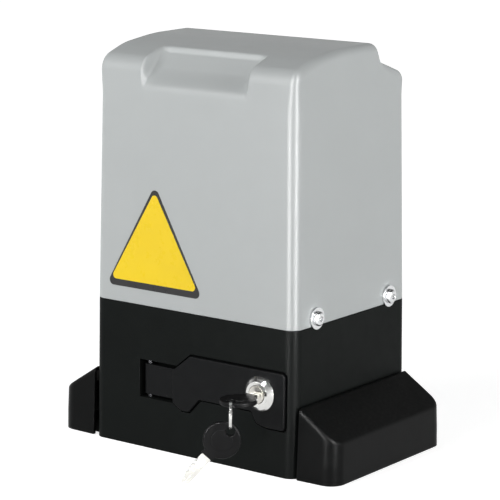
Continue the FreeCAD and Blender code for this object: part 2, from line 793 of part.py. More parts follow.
def make_worm_wheel():
    slope = (worm_module / 2) / worm_pitch_r / wheel_r
    sections = []
    for y in (-wheel_width / 2, wheel_width / 2):
        tip, root = worm_module * 0.9, worm_module * 1.15
        points = gear_outline(wheel_teeth, worm_module, tooth_thickness, tip, root, -slope * y)
        sections.append(Part.makePolygon([V(shaft_x + a, y, shaft_z + b) for a, b in points + [points[0]]]))
    wheel = Part.makeLoft(sections, True, True)
    hub = rod(wheel_hub_r, wheel_hub_width, V(shaft_x, -wheel_hub_width / 2, shaft_z), Y)
    wheel = wheel.fuse(hub)
    for side in (-1, 1):
        web = ring(wheel_r - 6, wheel_hub_r, 3, V(shaft_x, side * (wheel_width / 2) - 1.5, shaft_z), Y)
        wheel = wheel.cut(web)
    nodes["worm_wheel"] = wheel.cut(rod(shaft_r + fit_gap, 60, V(shaft_x, -30, shaft_z), Y))


def make_output():
    length = shaft_end - shaft_front_y
    shaft = rod(shaft_r, length, V(shaft_x, shaft_front_y, shaft_z), Y)
    collar_y = wheel_hub_width / 2 + 0.5
    shaft = shaft.fuse(rod(shaft_r + 4, rear_bearing_y - collar_y, V(shaft_x, collar_y, shaft_z), Y))
    shaft = shaft.cut(rod(rod_r + fit_gap, 42, V(shaft_x, shaft_front_y, shaft_z), Y))
    pinion_y = half_depth(0) + pinion_gap
    keyway = block(shaft_x - key_size / 2, shaft_x + key_size / 2, pinion_y + 2, pinion_y + pinion_width - 2,
                   shaft_z + shaft_r - 3.5, shaft_z + shaft_r + 2.8)
    clip_y = pinion_y + pinion_width + 0.3
    groove = ring(shaft_r + 1, shaft_r - 1, clip_thickness + 0.1, V(shaft_x, clip_y, shaft_z), Y)
    nodes["output_shaft"] = shaft.cut(keyway).cut(groove)
    nodes["pinion_key"] = block(shaft_x - key_size / 2, shaft_x + key_size / 2, pinion_y + 2,
                                pinion_y + pinion_width - 2, shaft_z + shaft_r - 3.5, shaft_z + shaft_r + 2.5)
    clip = ring(shaft_r + 2.5, shaft_r - 1 + fit_gap, clip_thickness, V(shaft_x, clip_y + 0.05, shaft_z), Y)
    nodes["pinion_clip"] = clip.cut(block(shaft_x - 3, shaft_x + 3, clip_y - 1, clip_y + 4, shaft_z - 20, shaft_z))
    tooth = math.pi * pinion_module / 2 - 0.2
    teeth = gear_outline(pinion_teeth, pinion_module, tooth, pinion_module, pinion_module * 1.25)
    pinion = gear(teeth, pinion_y, pinion_width, shaft_x, shaft_z)
    slot = block(shaft_x - key_size / 2, shaft_x + key_size / 2, pinion_y - 1, pinion_y + pinion_width + 1,
                 shaft_z, shaft_z + shaft_r + 2.8)
    pinion = pinion.cut(rod(shaft_r + fit_gap, 60, V(shaft_x, pinion_y - 10, shaft_z), Y)).cut(slot)
    nodes["output_pinion"] = pinion
    release_rod = rod(rod_r, rod_length, V(shaft_x, rod_tip_y, shaft_z), Y)
    nodes["release_rod"] = fillet(release_rod, 1.2, lambda e: abs(ends(e)[0].y - rod_tip_y) < 0.01)
    coil_y = rod_tip_y + rod_length + part_gap
    coil_length = shaft_front_y + 42 - coil_y - part_gap
    helix = Part.makeHelix(coil_length / 5, coil_length - 1.2, rod_r - 1.2)
    wire = Part.Wire(Part.makeCircle(0.5, V(rod_r - 1.2, 0, 0), Y))
    coil = Part.Wire(helix.Edges).makePipeShell([wire], True, True)
    coil.Placement = FreeCAD.Placement(V(shaft_x, coil_y + 0.6, shaft_z), FreeCAD.Rotation(Z, Y))
    nodes["release_spring"] = coil


front_bearing_y = box_front - bearing_width
nose_end = half_depth(shaft_z) - base_wall - 0.5
seal_y = nose_end - seal_ring_width
rear_bearing_y = seal_y - bearing_width - 1


def bearing(y):
    """A ball bearing drawn as one ring with its two rings parted by a groove."""
    body = ring(bearing_outer_r, shaft_r + fit_gap, bearing_width, V(shaft_x, y, shaft_z), Y)
    for face in (y - 1, y + bearing_width - 1):
        body = body.cut(ring(bearing_outer_r - 4, shaft_r + 3.5, 2, V(shaft_x, face, shaft_z), Y))
    return body


def make_gearbox():
    corners = [(box_left, box_low, box_corner_r), (box_right, box_low, box_corner_r),
               (box_right, box_high, box_corner_r), (box_left, box_high, box_corner_r)]
    body = front_prism(corners, box_front, box_back)
    w = box_wall
    inner = [(box_left + w, box_low + w, 4), (box_right - w, box_low + w, 4),
             (box_right - w, box_high - w, 4), (box_left + w, box_high - w, 4)]
    body = body.cut(front_prism(inner, box_front - 1, box_back - w))
    nose = rod(boss_r, nose_end - box_back + 1, V(shaft_x, box_back - 1, shaft_z), Y)
    body = body.fuse(nose)
    body = body.cut(rod(shaft_r + 5, 90, V(shaft_x, 0, shaft_z), Y))
    seat_r = bearing_outer_r + fit_gap
    body = body.cut(rod(seat_r, 60, V(shaft_x, rear_bearing_y, shaft_z), Y))
    nodes["output_bearing_rear"] = bearing(rear_bearing_y)
    seal = ring(bearing_outer_r, shaft_r + fit_gap, seal_ring_width, V(shaft_x, seal_y, shaft_z), Y)
    nodes["oil_seal"] = seal.cut(ring(bearing_outer_r - 3, shaft_r + 3, 2, V(shaft_x, seal_y + 5, shaft_z), Y))
    lower_boss = rod(20, worm_low - box_low + 9, V(worm_x, 0, box_low))
    body = body.fuse(lower_boss.common(front_prism(corners, box_front, box_back)))
    body = body.cut(rod(worm_bearing_r + fit_gap, worm_bearing_width + 2, V(worm_x, 0, worm_low)))
    body = body.cut(rod(worm_bearing_r + fit_gap, worm_bearing_width + 20, V(worm_x, 0, box_high - worm_bearing_width)))
    body = body.cut(rod(worm_shaft_r + 4, 30, V(worm_x, 0, box_high - 20)))
    body = body.cut(rod(worm_shaft_r + 6, 40, V(worm_x, 0, worm_low)))
    for x, y in gearbox_feet:
        body = body.cut(rod(2.5, box_wall + 2, V(x, y, box_low - 1)))
    bolts, cover_holes = [], []
    plate_shape = front_prism(corners, box_front - cover_plate, box_front)
    plate_shape = plate_shape.fuse(rod(boss_r, 8, V(shaft_x, box_front - cover_plate - 8, shaft_z), Y))
    plate_shape = plate_shape.cut(rod(seat_r, bearing_width, V(shaft_x, front_bearing_y, shaft_z), Y))
    plate_shape = plate_shape.cut(rod(shaft_r + 3, 40, V(shaft_x, front_bearing_y - 20, shaft_z), Y))
    for x in (box_left + 3.5, box_right - 3.5):
        for z in (box_low + 8, (box_low + box_high) / 2, box_high - 8):
            hole = rod(2, 14, V(x, box_front - cover_plate, z), Y)
            plate_shape = plate_shape.cut(hole)
            body = body.cut(rod(2, 8, V(x, box_front, z), Y))
            head = rod(3.3, 3.5, V(x, box_front - cover_plate - 3.5, z), Y)
            head = head.cut(hexagon(3, 3, V(x, box_front - cover_plate - 4, z), Y))
            bolts.append(head.fuse(rod(2 - fit_gap, 13, V(x, box_front - cover_plate, z), Y)))
    nodes["gearbox_cover"] = plate_shape
    nodes["gearbox_body"] = body
    nodes["gearbox_screws"] = Part.makeCompound(bolts)
    nodes["output_bearing_front"] = bearing(front_bearing_y)
    feet_screws = []
    for x, y in gearbox_feet:
        shank = rod(2.5 - fit_gap, box_wall + 9, V(x, y, box_low - 9))
        feet_screws.append(shank.fuse(rod(4.2, 3, V(x, y, box_low + box_wall))))
    nodes["gearbox_feet_screws"] = Part.makeCompound(feet_screws)


worm_low = 20.0
worm_bearing_r = 16.0
worm_bearing_width = 9.0
motor_base_z = box_high
motor_top_z = motor_base_z + motor_flange + motor_length


def make_rotor():
    top = motor_top_z + motor_cap - 3
    shaft = rod(worm_shaft_r, top - worm_low, V(worm_x, 0, worm_low))
    root_r = worm_pitch_r - worm_module * 1.15
    worm_span = 6 * pitch_length
    worm_start = shaft_z - 3 * pitch_length
    neck_low, neck_high = worm_start - 3, worm_start + worm_span + 3
    shaft = shaft.cut(ring(worm_shaft_r + 1, root_r, neck_high - neck_low, V(worm_x, 0, neck_low)))
    helix = Part.makeHelix(pitch_length, worm_span, root_r)
    slope = tan(20)
    tip_r = worm_pitch_r + worm_module * 0.9
    half = tooth_thickness / 2
    low, high = half + (worm_pitch_r - root_r + 0.4) * slope, half - (tip_r - worm_pitch_r) * slope
    section = Part.makePolygon([V(root_r - 0.4, 0, -low), V(tip_r, 0, -high), V(tip_r, 0, high),
                                V(root_r - 0.4, 0, low), V(root_r - 0.4, 0, -low)])
    thread = Part.Wire(helix.Edges).makePipeShell([section], True, True)
    thread.translate(V(worm_x, 0, worm_start))
    nodes["rotor_shaft"] = shaft.fuse(thread)
    core_z = motor_base_z + motor_flange + (motor_length - stator_length) / 2
    nodes["rotor_core"] = ring(rotor_r, worm_shaft_r + fit_gap, stator_length, V(worm_x, 0, core_z))
    for name, z, r in (("worm_bearing_lower", worm_low, worm_bearing_r),
                       ("worm_bearing_upper", box_high - worm_bearing_width, worm_bearing_r),
                       ("motor_bearing", motor_top_z + 0.5, worm_bearing_r)):
        body = ring(r, worm_shaft_r + fit_gap, worm_bearing_width, V(worm_x, 0, z))
        for face in (z - 1, z + worm_bearing_width - 1):
            body = body.cut(ring(r - 3, worm_shaft_r + 2.6, 2, V(worm_x, 0, face)))
        nodes[name] = body


def make_motor():
    centre = V(worm_x, 0, motor_base_z)
    flange = rod(motor_r + 3, motor_flange, centre).cut(rod(motor_r - 6, motor_flange, centre + Z * 4))
    flange = flange.cut(rod(worm_shaft_r + 3, 20, centre - Z))
    can_z = motor_base_z + motor_flange
    can = ring(motor_r, motor_r - motor_wall, motor_length, V(worm_x, 0, can_z))
    for i in range(rib_count):
        angle = 360.0 * i / rib_count
        rib = block(motor_r - 1, motor_r + 2.5, -1, 1, can_z + 6, can_z + motor_length - 6)
        rib.rotate(V(0, 0, 0), Z, angle)
        rib.translate(V(worm_x, 0, 0))
        can = can.fuse(rib)
    cap = rod(motor_r + 2, motor_cap, V(worm_x, 0, motor_top_z))
    cap = fillet(cap, 5, lambda e: abs(ends(e)[0].z - motor_top_z - motor_cap) < 0.01)
    cap = cap.cut(rod(worm_bearing_r + fit_gap, worm_bearing_width + 0.5, V(worm_x, 0, motor_top_z)))
    nodes["motor_flange"] = flange
    nodes["motor_housing"] = can
    nodes["motor_cap"] = cap
    stator_z = can_z + (motor_length - stator_length) / 2
    nodes["stator_core"] = ring(motor_r - motor_wall, stator_inner_r, stator_length, V(worm_x, 0, stator_z))
    low = ring(motor_r - motor_wall - 4, stator_inner_r + 3, 10, V(worm_x, 0, stator_z - 10))
    high = ring(motor_r - motor_wall - 4, stator_inner_r + 3, 10, V(worm_x, 0, stator_z + stator_length))
    nodes["stator_winding"] = Part.makeCompound([fillet(s, 3, lambda e: True) for s in (low, high)])
    screws = []
    for angle in (45, 135, 225, 315):
        a = math.radians(angle)
        spot = V(worm_x + (motor_r - 6) * math.cos(a), (motor_r - 6) * math.sin(a), motor_top_z + motor_cap)
        nodes["motor_cap"] = nodes["motor_cap"].cut(rod(2, motor_cap, spot - Z * motor_cap))
        head = rod(3.4, 2.6, spot)
        head = head.cut(hexagon(2.5, 2, spot + Z * 1.2, Z))
        screws.append(head.fuse(rod(2 - fit_gap, motor_cap - 1, spot - Z * (motor_cap - 1))))
    nodes["motor_screws"] = Part.makeCompound(screws)


# ---------------------------------------------------------------- electrics
def make_electrics():
    corners = [(tray_left, -tray_half_depth, 4), (tray_right, -tray_half_depth, 4),
               (tray_right, tray_half_depth, 4), (tray_left, tray_half_depth, 4)]
    tray = plate(corners, lambda p: V(p.x, p.y, tray_z), V(0, 0, tray_sheet))
    screws = []
    for x, y in tray_posts:
        tray = tray.cut(rod(2, 10, V(x, y, tray_z - 1)))
        shank = rod(2 - fit_gap, 10, V(x, y, tray_z - 8 + tray_sheet))
        head = rod(3.6, 2.4, V(x, y, tray_z + tray_sheet))
        screws.append(shank.cut(rod(3, 2, V(x, y, tray_z + tray_sheet))).fuse(head))
    tray = tray.cut(rod(cable_hole_r - 2, 10, V(cable_x, cable_y, tray_z - 1)))
    top = tray_z + tray_sheet
    nodes["tray_screws"] = Part.makeCompound(screws)
    nodes["component_tray"] = tray
    spot = V(tray_right - capacitor_r, tray_half_depth - 33, top)
    can = fillet(rod(capacitor_r, capacitor_height, spot), 2, lambda e: True)
    posts = [rod(1.2, 9, spot + V(dx, 0, capacitor_height - 1)) for dx in (-6, 6)]
    nodes["run_capacitor"] = can.fuse(posts[0]).fuse(posts[1])
    clamp = ring(capacitor_r + 1.5 + fit_gap, capacitor_r + fit_gap, 12, spot)
    ear = block(spot.x - capacitor_r - 9, spot.x - capacitor_r - 1, spot.y - 6, spot.y + 6, top, top + 1.5)
    nodes["capacitor_clamp"] = clamp.fuse(ear.cut(rod(capacitor_r + 1, 20, spot)))
    t_x, t_y = tray_right - 22, 30 - tray_half_depth
    core_half = tray_half_depth / 2 - 12
    coil_half = core_half + 6
    core = block(t_x - 20, t_x + 20, t_y - core_half, t_y + core_half, top, top + 44)
    window = block(t_x - 11, t_x + 11, t_y - core_half - 1, t_y + core_half + 1, top + 8, top + 36)
    leg = block(t_x - 5, t_x + 5, t_y - core_half, t_y + core_half, top + 8, top + 36)
    nodes["transformer_core"] = core.cut(window).fuse(leg).removeSplitter()
    coil = block(t_x - 10.5, t_x + 10.5, t_y - coil_half, t_y + coil_half, top + 8.5, top + 35.5)
    coil = fillet(coil, 2, lambda e: True)
    through = core_half + 0.2
    nodes["transformer_coil"] = coil.cut(block(t_x - 5.2, t_x + 5.2, t_y - through, t_y + through, top, top + 50))
    board_top = board_low + board_height
    board = block(board_x, board_x + board_thickness, -board_half_depth, board_half_depth, board_low, board_top)
    nodes["control_board"] = board
    rails = []
    for y in (-board_half_depth, board_half_depth - 6):
        rail = block(board_x - 3, board_x + board_thickness + 3, y, y + 6, top, board_low + 30)
        rails.append(rail.cut(block(board_x - 0.1, board_x + board_thickness + 0.1, y - 1, y + 7, board_low, board_top)))
    nodes["board_rails"] = Part.makeCompound(rails)
    face = board_x + board_thickness
    relays = [block(face, face + 15, y, y + 19, board_top - 34, board_top - 18) for y in (-46, -22, 2)]
    nodes["relays"] = Part.makeCompound([fillet(r, 0.8, lambda e: True) for r in relays])
    strip = block(face, face + 10, -48, 48, board_top - 14, board_top - 2)
    for i in range(18):
        y = -45 + 5.3 * i
        strip = strip.cut(block(face + 4, face + 11, y - 1.6, y + 1.6, board_top - 11, board_top - 6))
    nodes["terminal_strip"] = strip
    fuse = block(face, face + 9, 26, 48, board_top - 34, board_top - 26)
    nodes["fuse_holder"] = fillet(fuse, 1, lambda e: True)
    inner_y = half_depth(seam_z) - lip_inset - lip_thickness - 0.6
    sensor = block(worm_x + 2, worm_x + 30, inner_y - 9, inner_y, seam_z - 6, seam_z + 8)
    nodes["limit_sensor"] = fillet(sensor, 1.5, lambda e: True)


def build():
    make_hood()
    make_decal()
    make_base()
    make_side_screws()
    make_levelling_screws()
    make_foot_covers()
    make_lever()
    make_lock()
    make_keys()
    make_worm_wheel()
    make_output()
    make_gearbox()
    make_rotor()
    make_motor()
    make_electrics()


build()
os.makedirs("parts", exist_ok=True)
for name, shape in nodes.items():
    shape.exportStep(os.path.join("parts", name + ".step"))
    box = shape.BoundBox
    print(f"{name:24s} solids {len(shape.Solids)} valid {shape.isValid()} volume {shape.Volume:10.1f} "
          f"x {box.XMin:.1f} {box.XMax:.1f} y {box.YMin:.1f} {box.YMax:.1f} z {box.ZMin:.1f} {box.ZMax:.1f}")
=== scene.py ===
import math

import bmesh
import bpy
from mathutils import Matrix, Vector


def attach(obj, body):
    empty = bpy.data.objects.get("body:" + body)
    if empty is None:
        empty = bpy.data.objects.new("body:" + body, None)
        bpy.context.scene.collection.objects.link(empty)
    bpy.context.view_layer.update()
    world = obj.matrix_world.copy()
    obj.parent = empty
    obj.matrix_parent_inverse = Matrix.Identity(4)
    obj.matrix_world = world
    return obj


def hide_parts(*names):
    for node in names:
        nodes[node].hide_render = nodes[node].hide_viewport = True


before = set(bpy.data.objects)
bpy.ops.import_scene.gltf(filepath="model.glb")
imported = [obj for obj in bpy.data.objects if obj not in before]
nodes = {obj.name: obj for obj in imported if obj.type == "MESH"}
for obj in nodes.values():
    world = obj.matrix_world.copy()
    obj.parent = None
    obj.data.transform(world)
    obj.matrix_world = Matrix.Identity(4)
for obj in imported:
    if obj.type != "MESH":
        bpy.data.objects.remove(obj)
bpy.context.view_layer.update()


# settings of the effects that the materials share
effectShape = {
    "noiseBand": (0.3, 0.7), "glossBand": (0.35, 0.65), "glossScale": 3.7,
    "edgeBand": (0.995, 0.85), "bevelSamples": 4,
    "dustScale": 420.0, "dustBand": (0.42, 0.72), "dustSlope": (0.25, 1.0),
    "turnedStain": 90.0, "brushedStain": 75.0,
}


def link(tree, source, target):
    tree.links.new(source, target)


def newGroup(name, inputs, outputs):
    tree = bpy.data.node_groups.new(name, "ShaderNodeTree")
    for label, kind, value in inputs:
        socket = tree.interface.new_socket(label, in_out="INPUT", socket_type=kind)
        if value is not None:
            socket.default_value = value
    for label, kind in outputs:
        tree.interface.new_socket(label, in_out="OUTPUT", socket_type=kind)
    return tree, tree.nodes.new("NodeGroupInput"), tree.nodes.new("NodeGroupOutput")


def mathNode(tree, operation, first, second=None, clamp=False):
    node = tree.nodes.new("ShaderNodeMath")
    node.operation = operation
    node.use_clamp = clamp
    for index, value in enumerate((first, second)):
        if value is None:
            continue
        if isinstance(value, (int, float)):
            node.inputs[index].default_value = value
        else:
            link(tree, value, node.inputs[index])
    return node.outputs[0]


def vectorNode(tree, operation, first, second=None):
    node = tree.nodes.new("ShaderNodeVectorMath")
    node.operation = operation
    for index, value in enumerate((first, second)):
        if value is None:
            continue
        if isinstance(value, (tuple, list)):
            node.inputs[index].default_value = value
        else:
            link(tree, value, node.inputs[index])
    return node


def noiseNode(tree, vector, scale, detail=3.0, roughness=0.55):
    node = tree.nodes.new("ShaderNodeTexNoise")
    node.inputs["Detail"].default_value = detail
    node.inputs["Roughness"].default_value = roughness
    link(tree, vector, node.inputs["Vector"])
    if isinstance(scale, (int, float)):
        node.inputs["Scale"].default_value = scale
    else:
        link(tree, scale, node.inputs["Scale"])
    return node.outputs["Fac"]


def rangeNode(tree, value, low, high, outLow=0.0, outHigh=1.0):
    node = tree.nodes.new("ShaderNodeMapRange")
    link(tree, value, node.inputs["Value"])
    for label, number in (("From Min", low), ("From Max", high), ("To Min", outLow), ("To Max", outHigh)):
        if isinstance(number, (int, float)):
            node.inputs[label].default_value = number
        else:
            link(tree, number, node.inputs[label])
    return node.outputs["Result"]


def makeMouldGrain():
    tree, given, made = newGroup("mouldGrain", [
        ("Fineness", "NodeSocketFloat", 1400.0), ("Cloud", "NodeSocketFloat", 26.0)], [
        ("Height", "NodeSocketFloat"), ("Tone", "NodeSocketFloat"), ("Gloss", "NodeSocketFloat")])
    spot = tree.nodes.new("ShaderNodeTexCoord").outputs["Object"]
    fine = noiseNode(tree, spot, given.outputs["Fineness"], 2.0, 0.6)
    link(tree, rangeNode(tree, fine, *effectShape["noiseBand"]), made.inputs["Height"])
    cloud = noiseNode(tree, spot, given.outputs["Cloud"], 4.0, 0.6)
    link(tree, rangeNode(tree, cloud, *effectShape["noiseBand"]), made.inputs["Tone"])
    patchScale = mathNode(tree, "MULTIPLY", given.outputs["Cloud"], effectShape["glossScale"])
    patch = noiseNode(tree, spot, patchScale, 5.0, 0.7)
    link(tree, rangeNode(tree, patch, *effectShape["glossBand"]), made.inputs["Gloss"])
    return tree


def makeSoftEdge():
    tree, given, made = newGroup("softEdge", [("Radius", "NodeSocketFloat", 0.0006)], [
        ("Normal", "NodeSocketVector"), ("Edge", "NodeSocketFloat")])
    bevel = tree.nodes.new("ShaderNodeBevel")
    bevel.samples = effectShape["bevelSamples"]
    link(tree, given.outputs["Radius"], bevel.inputs["Radius"])
    facing = tree.nodes.new("ShaderNodeNewGeometry").outputs["Normal"]
    turn = vectorNode(tree, "DOT_PRODUCT", bevel.outputs["Normal"], facing).outputs["Value"]
    link(tree, bevel.outputs["Normal"], made.inputs["Normal"])
    link(tree, rangeNode(tree, turn, *effectShape["edgeBand"]), made.inputs["Edge"])
    return tree


def makeSettledDust():
    tree, given, made = newGroup("settledDust", [("Amount", "NodeSocketFloat", 0.1)], [
        ("Mask", "NodeSocketFloat")])
    geometry = tree.nodes.new("ShaderNodeNewGeometry")
    upward = vectorNode(tree, "DOT_PRODUCT", geometry.outputs["Normal"], (0, 0, 1)).outputs["Value"]
    spot = tree.nodes.new("ShaderNodeTexCoord").outputs["Object"]
    speckNoise = noiseNode(tree, spot, effectShape["dustScale"], 5.0, 0.7)
    speck = rangeNode(tree, speckNoise, *effectShape["dustBand"])
    level = rangeNode(tree, upward, *effectShape["dustSlope"])
    lying = mathNode(tree, "MULTIPLY", level, speck)
    link(tree, mathNode(tree, "MULTIPLY", lying, given.outputs["Amount"], True), made.inputs["Mask"])
    return tree


def makeTurned():
    tree, given, made = newGroup("turned", [
        ("Centre", "NodeSocketVector", None), ("Axis", "NodeSocketVector", None),
        ("Fineness", "NodeSocketFloat", 3000.0)], [
        ("Height", "NodeSocketFloat"), ("Tone", "NodeSocketFloat")])
    spot = tree.nodes.new("ShaderNodeTexCoord").outputs["Object"]
    offset = vectorNode(tree, "SUBTRACT", spot, given.outputs["Centre"]).outputs[0]
    along = vectorNode(tree, "DOT_PRODUCT", offset, given.outputs["Axis"]).outputs["Value"]
    across = vectorNode(tree, "CROSS_PRODUCT", offset, given.outputs["Axis"]).outputs[0]
    radius = vectorNode(tree, "LENGTH", across).outputs["Value"]
    joined = tree.nodes.new("ShaderNodeCombineXYZ")
    link(tree, along, joined.inputs[0])
    link(tree, radius, joined.inputs[1])
    lines = noiseNode(tree, joined.outputs[0], given.outputs["Fineness"], 2.0, 0.6)
    link(tree, rangeNode(tree, lines, *effectShape["noiseBand"]), made.inputs["Height"])
    stain = noiseNode(tree, spot, effectShape["turnedStain"], 4.0, 0.6)
    link(tree, rangeNode(tree, stain, *effectShape["noiseBand"]), made.inputs["Tone"])
    return tree


def makeBrushed():
    tree, given, made = newGroup("brushed", [
        ("Stretch", "NodeSocketVector", None), ("Fineness", "NodeSocketFloat", 2500.0)], [
        ("Height", "NodeSocketFloat"), ("Tone", "NodeSocketFloat")])
    spot = tree.nodes.new("ShaderNodeTexCoord").outputs["Object"]
    pulled = vectorNode(tree, "MULTIPLY", spot, given.outputs["Stretch"]).outputs[0]
    lines = noiseNode(tree, pulled, given.outputs["Fineness"], 3.0, 0.6)
    link(tree, rangeNode(tree, lines, *effectShape["noiseBand"]), made.inputs["Height"])
    stain = noiseNode(tree, spot, effectShape["brushedStain"], 4.0, 0.6)
    link(tree, rangeNode(tree, stain, *effectShape["noiseBand"]), made.inputs["Tone"])
    return tree


effects = {
    "grain": makeMouldGrain(),
    "edge": makeSoftEdge(),
    "dust": makeSettledDust(),
    "turned": makeTurned(),
    "brushed": makeBrushed(),
}
print("node groups made")


def place(tree, effect, **values):
    node = tree.nodes.new("ShaderNodeGroup")
    node.node_tree = effects[effect]
    for label, value in values.items():
        node.inputs[label].default_value = value
    return node


def mixColour(tree, factor, first, second):
    node = tree.nodes.new("ShaderNodeMix")
    node.data_type = "RGBA"
    sockets = [s for s in node.inputs if s.enabled]
    for socket, value in zip(sockets, (factor, first, second)):
        if isinstance(value, (int, float)):
            socket.default_value = value
        elif isinstance(value, (tuple, list)):
            socket.default_value = (*value, 1.0)
        else:
            link(tree, value, socket)
    return [s for s in node.outputs if s.enabled][0]


def linear(r, g, b):
    def one(value):
        value /= 255
        return value / 12.92 if value <= 0.04045 else ((value + 0.055) / 1.055) ** 2.4
    return one(r), one(g), one(b)


def shade(colour, factor):
    return tuple(min(1.0, c * factor) for c in colour)


# what a finish has unless it says otherwise
plainFinish = {
    "surface": "grain", "surfaceValues": {}, "spread": 0.06, "bump": 0.2, "bumpDistance": 0.00005,
    "roughness": 0.4, "roughnessSwing": 0.06, "metallic": 0.0, "specular": 0.5,
    "edgeRadius": 0.0005, "wear": 0.25, "dust": 0.04, "dustColour": (170, 168, 162), "dustRoughness": 0.3,
}


# tone, gloss and bump come from a surface effect, then worn edges and a little dust
def makeMaterial(name, changes):
    finish = {**plainFinish, "wornColour": changes["colour"], **changes}
    material = bpy.data.materials.new(name)
    material.use_nodes = True
    tree = material.node_tree
    shader = tree.nodes["Principled BSDF"]
    colour = linear(*finish["colour"])
    surface = place(tree, finish["surface"], **finish["surfaceValues"])
    edge = place(tree, "edge", Radius=finish["edgeRadius"])
    dust = place(tree, "dust", Amount=finish["dust"])

    darker, lighter = shade(colour, 1 - finish["spread"]), shade(colour, 1 + finish["spread"])
    base = mixColour(tree, surface.outputs["Tone"], darker, lighter)
    wear = mathNode(tree, "MULTIPLY", edge.outputs["Edge"], finish["wear"])
    base = mixColour(tree, wear, base, linear(*finish["wornColour"]))
    base = mixColour(tree, dust.outputs["Mask"], base, linear(*finish["dustColour"]))
    link(tree, base, shader.inputs["Base Color"])

    rough, swing = finish["roughness"], finish["roughnessSwing"]
    gloss = surface.outputs["Gloss"] if "Gloss" in surface.outputs else surface.outputs["Tone"]
    roughness = rangeNode(tree, gloss, 0.0, 1.0, rough - swing, rough + swing)
    dulled = mathNode(tree, "MULTIPLY", dust.outputs["Mask"], finish["dustRoughness"])
    link(tree, mathNode(tree, "ADD", roughness, dulled, True), shader.inputs["Roughness"])
    shader.inputs["Metallic"].default_value = finish["metallic"]
    shader.inputs["Specular IOR Level"].default_value = finish["specular"]

    bump = tree.nodes.new("ShaderNodeBump")
    bump.inputs["Strength"].default_value = finish["bump"]
    bump.inputs["Distance"].default_value = finish["bumpDistance"]
    link(tree, surface.outputs["Height"], bump.inputs["Height"])
    link(tree, edge.outputs["Normal"], bump.inputs["Normal"])
    link(tree, bump.outputs["Normal"], shader.inputs["Normal"])
    return material


def turnedAbout(centre, axis, fineness=3000.0):
    return {"Centre": centre, "Axis": axis, "Fineness": fineness}


outputCentre, rotorCentre = (-0.004, 0.0, 0.058), (0.038, 0.0, 0.1)
alongX, alongY, alongZ = (1.0, 0.0, 0.0), (0.0, 1.0, 0.0), (0.0, 0.0, 1.0)

